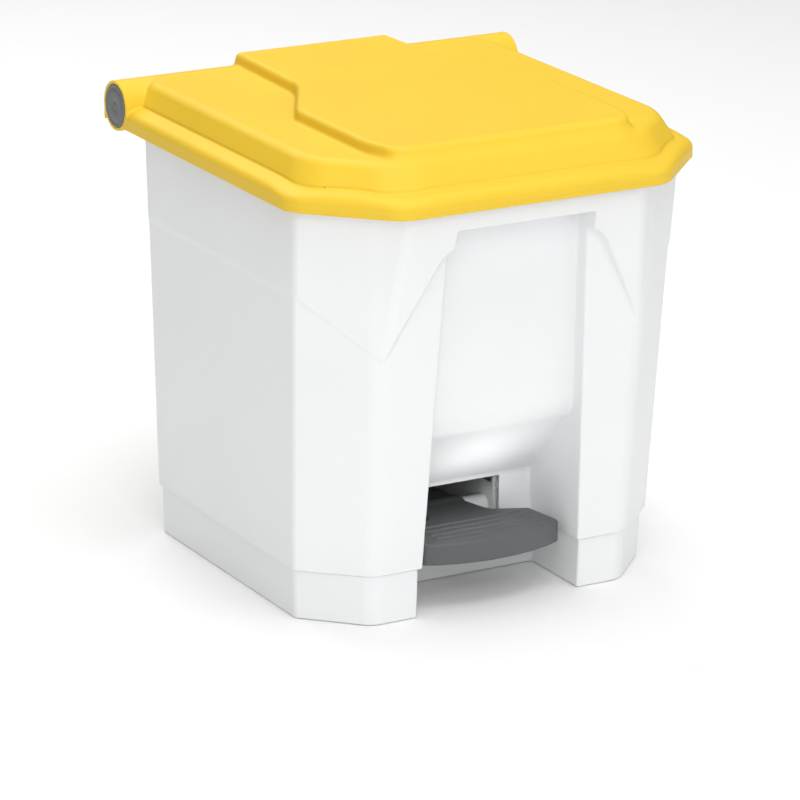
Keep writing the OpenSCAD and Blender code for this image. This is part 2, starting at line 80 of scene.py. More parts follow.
def camera():
    """The studio camera, from its azimuth, elevation and roll in degrees."""
    data = bpy.data.cameras.new("camera")
    cam = bpy.data.objects.new("camera", data)
    bpy.context.scene.collection.objects.link(cam)
    azimuth, elevation, roll = (math.radians(a) for a in CAMERA_TURN)
    back = Vector((math.sin(azimuth) * math.cos(elevation),
                   -math.cos(azimuth) * math.cos(elevation), math.sin(elevation)))
    right = (-back).cross(Vector((0, 0, 1))).normalized()
    up = right.cross(-back)
    right, up = (math.cos(roll) * right + math.sin(roll) * up,
                 math.cos(roll) * up - math.sin(roll) * right)
    turn = Matrix((right, up, back)).transposed().to_4x4()
    cam.matrix_world = Matrix.Translation(CAMERA_AT) @ turn
    data.sensor_width = SENSOR
    data.lens = LENS
    data.clip_start = 0.1
    data.clip_end = 60
    bpy.context.scene.camera = cam


# ---------------------------------------------------------------- distance shapes
# Everything from here to the materials is in millimetres. A shape is a signed distance, negative
# inside. The last number of a cut or join is the radius of the edge or corner that it makes, and
# inset moves a shape's faces in by a wall's thickness.
def cut(a, b, r=0.0):
    """Inside both a and b, the edge between them rounded."""
    return np.minimum(-r, np.maximum(a, b)) + np.hypot(np.maximum(r + a, 0), np.maximum(r + b, 0))


def join(a, b, r=0.0):
    """Inside a or b, the corner between them filled."""
    return np.maximum(r, np.minimum(a, b)) - np.hypot(np.maximum(r - a, 0), np.maximum(r - b, 0))


def soft(radius, turn=45.0):
    """The blend width that gives this radius where two faces' normals are turn degrees apart."""
    t = math.radians(turn)
    return radius * math.tan(t / 2) * math.sin(t)


def plane(a, b, c, inside=(0, 0, 200)):
    """A half space through three points, with a point inside it."""
    a, b, c = (np.array(p, float) for p in (a, b, c))
    n = np.cross(b - a, c - a)
    n /= np.linalg.norm(n)
    if n @ (np.array(inside, float) - a) > 0:
        n = -n
    return lambda x, y, z: n[0] * (x - a[0]) + n[1] * (y - a[1]) + n[2] * (z - a[2])


def line(u, v, p, q, inside):
    """Signed distance to the line pq in the plane u, v, negative on the side of inside."""
    n = np.array((q[1] - p[1], p[0] - q[0]), float)
    n /= np.linalg.norm(n)
    if n @ (np.array(inside, float) - p) > 0:
        n = -n
    return n[0] * (u - p[0]) + n[1] * (v - p[1])


def slab(v, lo, hi):
    """Between two parallel planes."""
    return np.maximum(lo - v, v - hi)


def block(x, y, z, lo, hi, r=0.0):
    """A box between two corners, its edges rounded."""
    return cut(cut(slab(x, lo[0], hi[0]), slab(y, lo[1], hi[1]), r), slab(z, lo[2], hi[2]), r)


def round_bar(u, v, along, centre, radius, lo, hi, r=0.0):
    """A cylinder with its axis square to the plane u, v."""
    return cut(np.hypot(u - centre[0], v - centre[1]) - radius, slab(along, lo, hi), r)


def taper(low, high):
    """The four faces of a chamfered form between two heights.
    low and high are (z, half width, front, cut across, cut deep)."""
    z0, w0, f0, a0, b0 = low
    z1, w1, f1, _, b1 = high
    side = plane((w0, 0, z0), (w0, 50, z0), (w1, 0, z1))
    front = plane((0, -f0, z0), (50, -f0, z0), (0, -f1, z1))
    corner = plane((w0, b0 - f0, z0), (w0 - a0, -f0, z0), (w1, b1 - f1, z1))
    return side, front, corner


def form(faces, x, y, z, back, rear_r, side_r, front_r, inset=0.0):
    """The solid inside a taper's faces and the plane y = back, every face moved in by inset."""
    side, front, corner = (f(x, y, z) + inset for f in faces)
    flank = cut(side, y - back + inset, rear_r)
    face = cut(front, corner, soft(front_r))
    return cut(flank, face, soft(side_r))


# ---------------------------------------------------------------- meshing a distance shape
BLOCK = 8           # cells along one side of a block
REACH = 1.7         # a block farther from the surface than this many sides is skipped
MARGIN = 2.3        # cells left free round the shape
STEP = 0.02         # distance over which a slope is measured
SHARP = 0.72        # a corner whose slope and face differ more than this cosine is a sharp edge
SLIVER = 0.12       # a triangle with less height than this keeps the slope's normal


def meshed(name, shape, lo, hi, cell, most):
    """A mesh of shape(x, y, z) < 0 by surface nets, moved on to the surface, thinned to most
    triangles and shaded with the shape's own normals."""
    size = BLOCK
    lo = np.array(lo, float) - MARGIN * cell
    hi = np.array(hi, float) + MARGIN * cell
    blocks = np.ceil((hi - lo) / (cell * size)).astype(int)

    def field(p):
        return shape(np.abs(p[..., 0]) if shape.mirrored else p[..., 0], p[..., 1], p[..., 2])

    every = np.stack(np.meshgrid(*[np.arange(n) for n in blocks], indexing="ij"), -1).reshape(-1, 3)
    centre = lo + (every + 0.5) * size * cell
    kept = every[np.abs(field(centre)) < size * cell * REACH]
    count = blocks * size + 1
    stride = np.array((count[1] * count[2], count[2], 1))
    local = np.stack(np.meshgrid(*[np.arange(size + 1)] * 3, indexing="ij"), -1)
    points, keys, quads = [], [], []
    for part in np.array_split(kept, max(1, len(kept) // 300)):
        index = part[:, None, None, None, :] * size + local[None]
        v = field(lo + index * cell)
        inside = v < 0
        corners = {}
        for a in (0, 1):
            for b in (0, 1):
                for c in (0, 1):
                    corners[a, b, c] = v[:, a:size + a, b:size + b, c:size + c]
        total = sum((k < 0).astype(int) for k in corners.values())
        mixed = (total > 0) & (total < 8)
        place = np.zeros(mixed.shape + (3,))
        hits = np.zeros(mixed.shape)
        for axis in range(3):
            for a in (0, 1):
                for b in (0, 1):
                    start = [a, b]
                    start.insert(axis, 0)
                    end = list(start)
                    end[axis] = 1
                    v0, v1 = corners[tuple(start)], corners[tuple(end)]
                    crossed = (v0 < 0) != (v1 < 0)
                    t = np.where(crossed, v0 / np.where(crossed, v0 - v1, 1), 0)
                    for k in range(3):
                        place[..., k] += np.where(crossed, t if k == axis else start[k], 0)
                    hits += crossed
        cells = index[:, :size, :size, :size]
        where = np.nonzero(mixed)
        points.append(lo + (cells[where] + place[where] / hits[where][:, None]) * cell)
        keys.append(cells[where] @ stride)
        for axis in range(3):
            step = [slice(0, size)] * 3
            step[axis] = slice(1, size + 1)
            v0 = inside[:, :size, :size, :size]
            v1 = inside[(slice(None), *step)]
            across = [np.eye(3, dtype=int)[k] @ stride for k in ((axis + 1) % 3, (axis + 2) % 3)]
            for which, flip in ((v0 & ~v1, False), (~v0 & v1, True)):
                base = index[:, :size, :size, :size][np.nonzero(which)] @ stride
                ring = [base, base - across[0], base - across[0] - across[1], base - across[1]]
                if flip:
                    ring = ring[::-1]
                quads.append(np.stack(ring, -1))
    points, keys, quads = np.concatenate(points), np.concatenate(keys), np.concatenate(quads)
    order = np.argsort(keys)
    points, keys = points[order], keys[order]
    found = np.searchsorted(keys, quads)
    found = np.clip(found, 0, len(keys) - 1)
    good = (keys[found] == quads).all(1)
    quads = found[good]

    def slope(p):
        return np.stack([field(p + e) - field(p - e) for e in np.eye(3) * STEP], -1) / (2 * STEP)

    def settle(p, rounds):
        for _ in range(rounds):
            g = slope(p)
            move = -(field(p) / np.maximum((g * g).sum(-1), 0.3))[:, None] * g
            far = np.linalg.norm(move, axis=1)
            p = p + move * np.minimum(1, 0.6 * cell / np.maximum(far, 1e-9))[:, None]
        return p

    points = settle(points, 3)
    mesh = bpy.data.meshes.new(name)
    mesh.vertices.add(len(points))
    mesh.vertices.foreach_set("co", (points * MM).astype(np.float32).ravel())
    mesh.loops.add(quads.size)
    mesh.loops.foreach_set("vertex_index", quads.ravel().astype(np.int32))
    mesh.polygons.add(len(quads))
    mesh.polygons.foreach_set("loop_start", np.arange(0, quads.size, 4, dtype=np.int32))
    mesh.polygons.foreach_set("loop_total", np.full(len(quads), 4, np.int32))
    mesh.update(calc_edges=True)
    mesh.validate()
    obj = bpy.data.objects.new(name, mesh)
    bpy.context.scene.collection.objects.link(obj)
    obj.modifiers.new("split", "TRIANGULATE")
    thin = obj.modifiers.new("thin", "DECIMATE")
    thin.ratio = min(1.0, most / (2 * len(quads)))
    done = bpy.data.meshes.new_from_object(obj.evaluated_get(bpy.context.evaluated_depsgraph_get()))
    obj.modifiers.clear()
    obj.data = done
    done.name = name
    bpy.data.meshes.remove(mesh)
    co = np.zeros(len(done.vertices) * 3, np.float32)
    done.vertices.foreach_get("co", co)
    co = settle(co.reshape(-1, 3).astype(float) / MM, 2)
    done.vertices.foreach_set("co", (co * MM).astype(np.float32).ravel())
    done.update()
    shade(done, co, slope)
    print(name, "cells", len(kept), "triangles", len(done.polygons))
    return obj


def shade(mesh, co, slope):
    """Corner normals from the shape; a corner on a sharp edge keeps its own face's normal."""
    for p in mesh.polygons:
        p.use_smooth = True
    loops = np.zeros(len(mesh.loops), np.int32)
    mesh.loops.foreach_get("vertex_index", loops)
    faces = np.zeros(len(mesh.polygons) * 3, np.float32)
    mesh.polygons.foreach_get("normal", faces)
    totals = np.zeros(len(mesh.polygons), np.int32)
    mesh.polygons.foreach_get("loop_total", totals)
    flat = np.repeat(faces.reshape(-1, 3), totals, axis=0)
    g = slope(co)
    g /= np.maximum(np.linalg.norm(g, axis=1), 1e-9)[:, None]
    own = g[loops]
    corner = co[loops].reshape(-1, 3, 3)
    side = np.linalg.norm(corner - np.roll(corner, 1, axis=1), axis=2)
    area = np.linalg.norm(np.cross(corner[:, 1] - corner[:, 0], corner[:, 2] - corner[:, 0]), axis=1)
    sliver = np.repeat(area < SLIVER * side.max(1), 3)
    own = np.where((sliver | ((own * flat).sum(1) > SHARP))[:, None], own, flat)
    mesh.normals_split_custom_set(own.tolist())


def mirrored(shape):
    """Marks a shape that is the same left and right, so it is only asked for x >= 0."""
    shape.mirrored = True
    return shape


# ---------------------------------------------------------------- the tub
body_lo, body_hi = box_mm("body_shell")
foot_z, rim_z, rear = body_lo[2], body_hi[2], body_hi[1]
WALL = 3.2
RIM_LIP = 5.5
REAR_R, SIDE_R, FRONT_R, SHOULDER_R = 12, 8, 22, 14
top_w = body_hi[0] - RIM_LIP
shoulder_front = -body_lo[1] - 4
leg_foot_front = shoulder_front - 42
LEG_SLOPE = 0.07
leg_top_front = leg_foot_front + LEG_SLOPE * (rim_z - foot_z)
tub_faces = taper((foot_z, top_w - 11, leg_foot_front, 53.5, 49), (rim_z, top_w, leg_top_front, 62, 53))
shoulder_faces = taper((240, top_w - 5, shoulder_front - 27.3, 58, 51.2),
                       (rim_z, top_w - 0.4, shoulder_front, 60, 67.6))
V_POINT = (129, 247.5)      # the shoulder's V on one side: its low point, its end on the side, its neck
V_SIDE = (190, 303)
V_NECK = ((80.4, 339), (69, 345.4))
V_INSIDE = (160, 380)
WELL_BACK = -75
WELL_TOP = 91
ROOF_Z = 167
PANEL_DEPTH = 16
RECESS_TOP = 361
RECESS_HALF = (81, 67.4)    # half width at the floor and 400 mm up
SLOT_HALF, SLOT_TOP = 47, 88
BOSS_R = 6
AXLE_BOSSES = (54, 70)      # across
AXLE_BOSS_Z = 76
HINGE_BOSSES = (336, 356)   # up
HINGE_BOSS_X = 130
ROD_WINDOW = (12, 360, 400)  # half width, bottom, top
panel_low = -(leg_foot_front + LEG_SLOPE * (ROOF_Z - foot_z)) + PANEL_DEPTH
panel_top = -(leg_foot_front + LEG_SLOPE * (RECESS_TOP - foot_z)) + PANEL_DEPTH


def tub_outer(x, y, z, inset=0.0):
    """The tub's outside: legs, flared V shoulders, and the recess with its panel, roof and well."""
    legs = form(tub_faces, x, y, z, rear, REAR_R, SIDE_R, FRONT_R, inset)
    band = form(shoulder_faces, x, y, z, rear - 1, REAR_R, SIDE_R, SHOULDER_R, inset)
    left = line(x, z, V_SIDE, V_POINT, V_INSIDE)
    right = line(x, z, V_POINT, V_NECK[0], V_INSIDE)
    neck = line(x, z, V_NECK[0], V_NECK[1], (80, 380))
    upper = np.minimum(join(right, neck, 5), V_NECK[1][1] + 2 - z)
    region = cut(left + inset, upper + inset, 3)
    band = cut(band, (region + 0.3 * band) / 1.04, 1.0)
    body = join(legs, band, 3.5)
    back = y - WELL_BACK
    roof = line(y, z, (WELL_BACK, WELL_TOP), (panel_low, ROOF_Z), (-200, 100))
    panel = line(y, z, (panel_low, ROOF_Z), (panel_top, RECESS_TOP), (-250, 260))
    sides = line(x, z, (RECESS_HALF[0], 0), (RECESS_HALF[1], 400), (0, 200))
    panel, back, roof, sides = panel - inset, back - inset, roof - inset, sides - inset
    profile = join(panel, cut(back, roof, soft(10)), soft(26))
    recess = cut(cut(profile, sides, 3), z - RECESS_TOP - inset, 2)
    return cut(body, -recess, 1.6)


@mirrored
def tub_shape(x, y, z):
    """The moulded tub: one wall thickness, a rim lip, screw bosses and the pedal's and rod's slots."""
    outer, inner = tub_outer(x, y, z), tub_outer(x, y, z, WALL)
    d = np.maximum(outer, -inner)
    lip_w, lip_front = top_w + RIM_LIP, -body_lo[1]
    lip_corner = line(x, -y, (lip_w, lip_front - 70), (lip_w - 63, lip_front), (0, 0))
    lip = cut(cut(x - lip_w, -y - lip_front, 4), lip_corner, 6)
    lip = cut(cut(cut(lip, y - 140, 1), WALL / 2 - inner, 0), rim_z - 4 - z, 1.2)
    d = join(d, lip, 1.5)
    d = cut(cut(d, slab(z, foot_z, rim_z), 0.8), y - rear, 0.6)
    for bx in AXLE_BOSSES:
        d = np.minimum(d, round_bar(x, z, y, (bx, AXLE_BOSS_Z), BOSS_R, WELL_BACK + 1, -63, 0.6))
    for bz in HINGE_BOSSES:
        d = np.minimum(d, round_bar(x, z, y, (HINGE_BOSS_X, bz), BOSS_R, rear - 13.2, rear - 1, 0.6))
    slot = block(x, y, z, (-SLOT_HALF, WELL_BACK - 6, foot_z - 9),
                 (SLOT_HALF, WELL_BACK + 8, SLOT_TOP), 1.5)
    d = cut(d, -slot, 0.8)
    half, low, high = ROD_WINDOW
    d = cut(d, -block(x, y, z, (-half, rear - 8, low), (half, rear + 9, high), 1.5), 0.8)
    return d


# ---------------------------------------------------------------- the plinth
plinth_lo, plinth_hi = box_mm("base_plinth")
plinth_faces = taper((0, 177.2, -plinth_lo[1] - 1.8, 50, 50),
                     (foot_z, plinth_hi[0], -plinth_lo[1], 50.5, 50.5))
LIP_T = 2.4
FIT = 0.6
PLINTH_REAR_R = 11
WELL_HALF = 82.3
FLANGE_W, FLANGE_T = 12, 3
LIP_FRONT = -60


@mirrored
def plinth_shape(x, y, z):
    """The plinth: an open ring wall with a foot flange, and a lip and shelf that take the tub."""
    def around(inset):
        well = cut(x - WELL_HALF - inset, y - WELL_BACK - inset, 3)
        ring = form(plinth_faces, x, y, z, plinth_hi[1], PLINTH_REAR_R, SIDE_R, FRONT_R, inset)
        return cut(ring, -well, 1.6)

    outer = around(0)
    foot = cut(np.maximum(outer + 1, -(outer + FLANGE_W)), z - FLANGE_T, 0.8)
    d = cut(join(np.maximum(outer, -around(WALL)), foot, 1), slab(z, 0, foot_z - 0.1), 0.9)
    tub = form(tub_faces, x, y, z, rear, REAR_R, SIDE_R, FRONT_R, WALL + FIT)
    lip = cut(np.maximum(tub, -(tub + LIP_T)), slab(z, foot_z - 3, plinth_hi[2]), 0.6)
    lip = cut(cut(lip, LIP_FRONT - y, 0.6), -cut(x - 16, 130 - y), 0.4)
    d = np.minimum(d, lip)
    shelf = cut(cut(outer, -(tub + LIP_T), 0), slab(z, foot_z - 3, foot_z - 0.1))
    d = np.minimum(d, cut(shelf, LIP_FRONT - y))
    slot = block(x, y, z, (-SLOT_HALF, WELL_BACK - 6, 30), (SLOT_HALF, WELL_BACK + 8, 70), 1.5)
    return cut(d, -slot, 0.8)


# ---------------------------------------------------------------- the liner
liner_lo, liner_hi = box_mm("liner_bucket")
LINER_FRONT = 157
LINER_WALL = 2.4
LINER_REAR_R = 26
LINER_KNEE = (-143, 171)    # where the front face turns in over the foot well
LINER_TOE = -71


@mirrored
def liner_shape(x, y, z):
    """The lift-out bucket with its flange, notched at the rear for the push rod."""
    top = liner_hi[2] - 3.1
    faces = (line(y, z, (-LINER_FRONT, top), LINER_KNEE, (0, 250)),
             line(y, z, LINER_KNEE, (LINER_TOE, liner_lo[2]), (0, 250)),
             line(y, z, (121, liner_lo[2]), (128.5, top), (0, 250)),
             line(x, z, (166, liner_lo[2]), (179, top), (0, 250)),
             line(x, -y, (179, LINER_FRONT - 58), (179 - 58, LINER_FRONT), (0, 0)),
             liner_lo[2] - z)

    def bucket(inset):
        front, toe, back, side, corner, floor = (f + inset for f in faces)
        face = cut(cut(front, toe, soft(20, 35)), corner, soft(22))
        return cut(cut(cut(side, back, LINER_REAR_R), face, soft(12)), floor, 9)

    body, inside = bucket(0), bucket(LINER_WALL)
    d = cut(np.maximum(body, -inside), z - top - 1.5)
    rim_w, rim_front = liner_hi[0], -liner_lo[1]
    rim_corner = line(x, -y, (rim_w, rim_front - 68), (rim_w - 62, rim_front), (0, 0))
    rim = cut(cut(x - rim_w, -y - rim_front, 4), rim_corner, soft(22))
    rim = cut(rim, y - liner_hi[1], LINER_REAR_R)
    rim = cut(cut(rim, -inside, 2), slab(z, liner_hi[2] - 3, liner_hi[2]), 1.3)
    d = join(d, rim, 2)
    return cut(d, -block(x, y, z, (-24, 128.8, top - 6), (24, 160, 420), 2), 0.6)


# ---------------------------------------------------------------- the lid
lid_lo, lid_hi = box_mm("lid_shell")
half_w, lid_front, top_z = lid_hi[0], -lid_lo[1], lid_hi[2]
cap_lo, cap_hi = box_mm("hinge_cap_right")
axis_y, axis_z = (cap_lo[1] + cap_hi[1]) / 2, (cap_lo[2] + cap_hi[2]) / 2
BARREL_R = 23
skirt_z = axis_z - 17
BORE_R = 20
ROD_R = 4.05
LID_REAR = 174
WEBS = (104, 156)           # the barrel's webs, across
NOTCH = (118, 142)          # the bracket's notch, across
rim_low, rim_high, flat_z = skirt_z + 14, skirt_z + 19.5, top_z - 11
rim_outline = (half_w, lid_front, 74, 74)
bevel_outline = (half_w - 16, lid_front - 16.9, 61.7, 61.7)
lid_skirt = taper((skirt_z, *rim_outline), (rim_high, *rim_outline))
lid_slope = taper((rim_low, *rim_outline), (rim_high, *bevel_outline))
lid_bevel = taper((rim_high, *bevel_outline), (flat_z, 178, 178.5, 55, 55))


def lid_outer(x, y, z, inset=0.0):
    """The lid's outside: skirt, rounded rim, bevel, plateau and the raised centre with its jog."""
    skirt = [f(x, y, z) + inset for f in lid_skirt]
    slope = [f(x, y, z) + inset for f in lid_slope]
    skirt = cut(skirt[0], cut(skirt[1], skirt[2], soft(32)), soft(32))
    slope = cut(slope[0], cut(slope[1], slope[2], soft(34)), soft(34))
    rim = cut(cut(skirt, slope, soft(9, 70)), cut(z - rim_high + inset, y - LID_REAR + 2 + inset), 1)
    side, front, corner = (f(x, y, z) + inset for f in lid_bevel)
    bevel = cut(cut(side, y - axis_y, 24), cut(front, corner, soft(44)), soft(44))
    bevel = cut(bevel, z - flat_z + inset, soft(13, 55))
    raised_side = line(x, z, (134, 400), (127, top_z), (0, 300))
    raised_front = line(y, z, (-190, 400), (-171, top_z), (0, 300))
    near = plane((134, -150, 400), (112, -190, 400), (127, -150, top_z))(x, y, z)
    jog = plane((134, -20, 400), (90, 60, 400), (127, -10, top_z))(x, y, z)
    neck = plane((91, 40, 400), (84, 203, 400), (85, 40, top_z))(x, y, z)
    end = plane((0, 203, 400), (50, 203, 400), (0, 197, top_z))(x, y, z)
    raised_side, raised_front, near, jog, neck, end = (
        f + inset for f in (raised_side, raised_front, near, jog, neck, end))
    wide = cut(cut(raised_side, jog, soft(12)), cut(raised_front, near, soft(30, 55)), soft(30, 55))
    raised = join(cut(wide, y - 150), cut(cut(neck, end, 3), 40 - y), soft(18))
    raised = cut(cut(raised, z - top_z + inset, soft(6, 75)), 396 - z)
    d = join(rim, bevel, 0.5)
    d = d + (0.8 if inset == 0 else 0.4) * np.exp(-(rim * rim + bevel * bevel) / 3.2)
    return join(d, raised, 3 + 4 * np.clip((-140 - y) / 30, 0, 1))


@mirrored
def lid_shape(x, y, z):
    """The lid: one wall thickness, the hinge barrel with its webs, and notches for the brackets."""
    d = lid_outer(x, y, z)
    barrel = np.hypot(y - axis_y, z - axis_z) - BARREL_R
    bore = barrel + BARREL_R - BORE_R
    hollow = cut(np.maximum(lid_outer(x, y, z, WALL), y - LID_REAR + WALL), -(bore + 3), 0)
    d = cut(np.maximum(d, -hollow), skirt_z - 1.5 - z, 0.8)
    ring = cut(barrel, 3 - (barrel + BARREL_R), 0)
    d = join(d, ring, 2.5)
    back_y = axis_y + BARREL_R - 0.2
    back = cut(slab(y, back_y - 2.6, back_y), slab(z, skirt_z + 0.5, axis_z), 0.9)
    d = np.minimum(d, cut(back, x - half_w, 0.9))
    d = cut(d, x - half_w, 1.0)
    d = cut(d, -bore, 0.8)
    for wx in WEBS:
        d = np.minimum(d, cut(slab(x, wx - 4, wx + 4), bore - 1, 0))
    d = cut(d, ROD_R - np.hypot(y - axis_y, z - axis_z), 0)
    notch = np.minimum(block(x, y, z, (NOTCH[0], 162, 350), (NOTCH[1], 225, 400), 1),
                       block(x, y, z, (NOTCH[0], axis_y, 350), (NOTCH[1], 240, 406), 1))
    d = cut(d, -notch, 0.6)
    clear = block(x, y, z, (-half_w, 134, 350), (half_w - WALL, 164, 394))
    return np.maximum(d, -clear)


# ---------------------------------------------------------------- the pedal
pedal_lo, pedal_hi = box_mm("pedal")
axle_lo, axle_hi = box_mm("pedal_axle")
pivot_y, pivot_z = (axle_lo[1] + axle_hi[1]) / 2, (axle_lo[2] + axle_hi[2]) / 2
tread_half = pedal_hi[0]
tread_z = pedal_hi[2] - 1
TREAD_T = 20
BOW = 16
HUB_HALF, HUB_R = 24, 11
ARM_HALF = 23.5
RIBS, RIB_STEP, RIB_HALF = 5, 10, 52
LEVER_REACH = 193
LEVER_HALF = ((0, ARM_HALF), (60, 16), (120, 11), (150, 4))     # half width at each distance back
TREAD_REAR = ((64.5, 43), (36, 55), (29.5, 64))                 # behind the front corner
CRANK_REACH, LID_OPENS = 41.5, 70
half_travel = CRANK_REACH * math.tan(math.radians(LID_OPENS / 2))
lever_drop = math.atan(half_travel / LEVER_REACH)
bow_r = (tread_half ** 2 + BOW ** 2) / (2 * BOW)
bow_y = pedal_lo[1] + bow_r


@mirrored
def pedal_shape(x, y, z):
    """The pedal: ribbed tread with a bowed front, arm, hub, and the lever back to the push rod."""
    corner_y = pedal_lo[1] + BOW
    wing, hip, root = ((across, corner_y + back) for across, back in TREAD_REAR)
    outline = cut(np.hypot(x, y - bow_y) - bow_r,
                  line(x, y, (tread_half, corner_y), wing, (0, -120)), 5)
    outline = cut(outline, line(x, y, wing, hip, (0, -120)), 4)
    arm = line(x, y, root, (ARM_HALF, pivot_y - 9), (0, -60))
    arm = cut(cut(arm, x - 31), slab(y, -130, pivot_y))
    arm = np.minimum(arm, cut(x - ARM_HALF, slab(y, pivot_y - 9, pivot_y + 9)))
    tail = cut(line(x, y, (ARM_HALF, pivot_y + 9), (15.5, 4), (0, 0)), slab(y, pivot_y, 4), 2)
    arm = np.minimum(arm, cut(tail, x - ARM_HALF))
    outline = join(outline, arm, 4 * np.clip((pivot_y - 9 - y) / 6, 0.02, 1))
    d = cut(cut(outline, z - tread_z, 2.6), tread_z - TREAD_T - z, 1.6)
    for i in range(RIBS):
        ry = pedal_lo[1] + 13.5 + RIB_STEP * i
        rib = cut(np.hypot(y - ry, (z - tread_z + 1.4) * 0.9) - 2.2, x - RIB_HALF, 1)
        d = join(d, rib, 0.7)
    hub = np.hypot(y - pivot_y, z - pivot_z)
    d = join(d, cut(hub - HUB_R, x - HUB_HALF, 1.2), 3)
    along = (y - pivot_y) * math.cos(lever_drop) - (z - pivot_z) * math.sin(lever_drop)
    rise = (y - pivot_y) * math.sin(lever_drop) + (z - pivot_z) * math.cos(lever_drop)
    tip = LEVER_REACH / math.cos(lever_drop) + 5.9
    wide = x - ARM_HALF
    for (back_0, half_0), (back_1, half_1) in zip(LEVER_HALF, LEVER_HALF[1:]):
        wide = cut(wide, line(x, along, (half_0, back_0), (half_1, back_1), (0, 30)), 2 if back_0 else 0)
    tip_back, tip_half = LEVER_HALF[-1]
    lever = join(np.maximum(wide, along - tip_back), x - tip_half, 6)
    lever = cut(lever, slab(along, -8, tip), 2)
    lever = cut(lever, np.abs(rise) - 7, 1.4)
    d = join(d, lever, 3)
    slot = np.hypot(np.maximum(0, np.abs(along - LEVER_REACH - 1.1) - 1.5), rise) - 2.9
    d = cut(d, -slot, 0.3)
    return cut(d, 6.02 - hub, 0.3)


# ---------------------------------------------------------------- screws
def solids_of(node):
    """The corner points of each separate solid of a node, in millimetres."""
    bm = bmesh.new()
    bm.from_mesh(nodes[node].data)
    bmesh.ops.remove_doubles(bm, verts=bm.verts, dist=1e-7)
    seen, groups = set(), []
    for start in bm.verts:
        if start in seen:
            continue
        seen.add(start)
        stack, group = [start], []
        while stack:
            v = stack.pop()
            group.append(np.array(v.co) / MM)
            for e in v.link_edges:
                other = e.other_vert(v)
                if other not in seen:
                    seen.add(other)
                    stack.append(other)
        groups.append(np.array(group))
    bm.free()
    return groups


def screw_shape(node, axis, sign):
    """Every screw of a node: a domed head with a cross recess at the axis' positive or negative
    end, and a threaded shank."""
    screws = []
    for points in solids_of(node):
        lo, hi = points.min(0), points.max(0)
        centre = (lo + hi) / 2
        u, v = [k for k in range(3) if k != axis]
        radial = np.hypot(points[:, u] - centre[u], points[:, v] - centre[v])
        top = hi[axis] if sign > 0 else lo[axis]
        depth = (top - points[:, axis]) * sign
        head_r = radial.max()
        head_h = depth[radial > 0.8 * head_r].max()
        shank_r = radial[depth > head_h + 0.2].max()
        screws.append((centre, top, head_r, head_h, shank_r, depth.max()))

    def shape(x, y, z):
        p = (x, y, z)
        u, v = [k for k in range(3) if k != axis]
        d = np.full(np.shape(x), 1e3)
        for centre, top, head_r, head_h, shank_r, length in screws:
            pu, pv, t = p[u] - centre[u], p[v] - centre[v], (top - p[axis]) * sign
            radial = np.hypot(pu, pv)
            ball = 1.3 * head_r
            dome = np.sqrt(radial ** 2 + (t - ball) ** 2) - ball
            head = cut(cut(dome, radial - head_r, 0.3), t - head_h, 0.15)
            cross = np.minimum(cut(np.abs(pu) - 0.45, np.abs(pv) - 0.55 * head_r),
                               cut(np.abs(pv) - 0.45, np.abs(pu) - 0.55 * head_r))
            head = cut(head, -cut(cross, t - 0.55 * head_h), 0.1)
            thread = radial - shank_r + 0.18 * (1 + np.sin(2 * math.pi * t / 1.2)) * (t > head_h + 0.6)
            shank = cut(cut(thread, t - length, 0.4), head_h - 0.3 - t)
            d = np.minimum(d, np.minimum(head, shank))
        return d

    shape.mirrored = False
    return shape


# ---------------------------------------------------------------- small parts
def softened(node, radius):
    """A copy of the node's mesh with its edges rounded, in the node's place."""
    mesh = nodes[node].data.copy()
    bm = bmesh.new()
    bm.from_mesh(mesh)
    bmesh.ops.remove_doubles(bm, verts=bm.verts, dist=1e-6)
    bmesh.ops.dissolve_limit(bm, angle_limit=math.radians(1), verts=bm.verts, edges=bm.edges)
    bm.to_mesh(mesh)
    bm.free()
    mesh.materials.clear()
    obj = bpy.data.objects.new(node + "_moulded", mesh)
    bpy.context.scene.collection.objects.link(obj)
    bevel = obj.modifiers.new("bevel", "BEVEL")
    bevel.width = radius * MM
    bevel.segments = 3
    bevel.limit_method = "ANGLE"
    bevel.angle_limit = math.radians(35)
    bevel.harden_normals = True
    for p in mesh.polygons:
        p.use_smooth = True
    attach(obj, nodes[node]["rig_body"])
    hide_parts(node)
    return obj


def lathe(name, profile, axis, at, steps=96):
    """A turned solid: profile is (distance along the axis, radius), from the axis back to it."""
    bm = bmesh.new()
    rings = []
    for along, radius in profile:
        if radius < 1e-6:
            rings.append([bm.verts.new(Vector(at) + Vector(axis) * along)])
            continue
        side = Vector(axis).orthogonal().normalized()
        up = Vector(axis).cross(side)
        ring = []
        for i in range(steps):
            a = 2 * math.pi * i / steps
            ring.append(bm.verts.new(Vector(at) + Vector(axis) * along
                                     + (side * math.cos(a) + up * math.sin(a)) * radius))
        rings.append(ring)
    for a, b in zip(rings, rings[1:]):
        for i in range(steps):
            j = (i + 1) % steps
            if len(a) == 1 and len(b) > 1:
                bm.faces.new((a[0], b[j], b[i]))
            elif len(b) == 1 and len(a) > 1:
                bm.faces.new((a[i], a[j], b[0]))
            elif len(a) > 1:
                bm.faces.new((a[i], a[j], b[j], b[i]))
    bmesh.ops.recalc_face_normals(bm, faces=bm.faces)
    mesh = bpy.data.meshes.new(name)
    bm.to_mesh(mesh)
    bm.free()
    for p in mesh.polygons:
        p.use_smooth = True
    mesh.set_sharp_from_angle(angle=math.radians(40))
    obj = bpy.data.objects.new(name, mesh)
    bpy.context.scene.collection.objects.link(obj)
    return obj


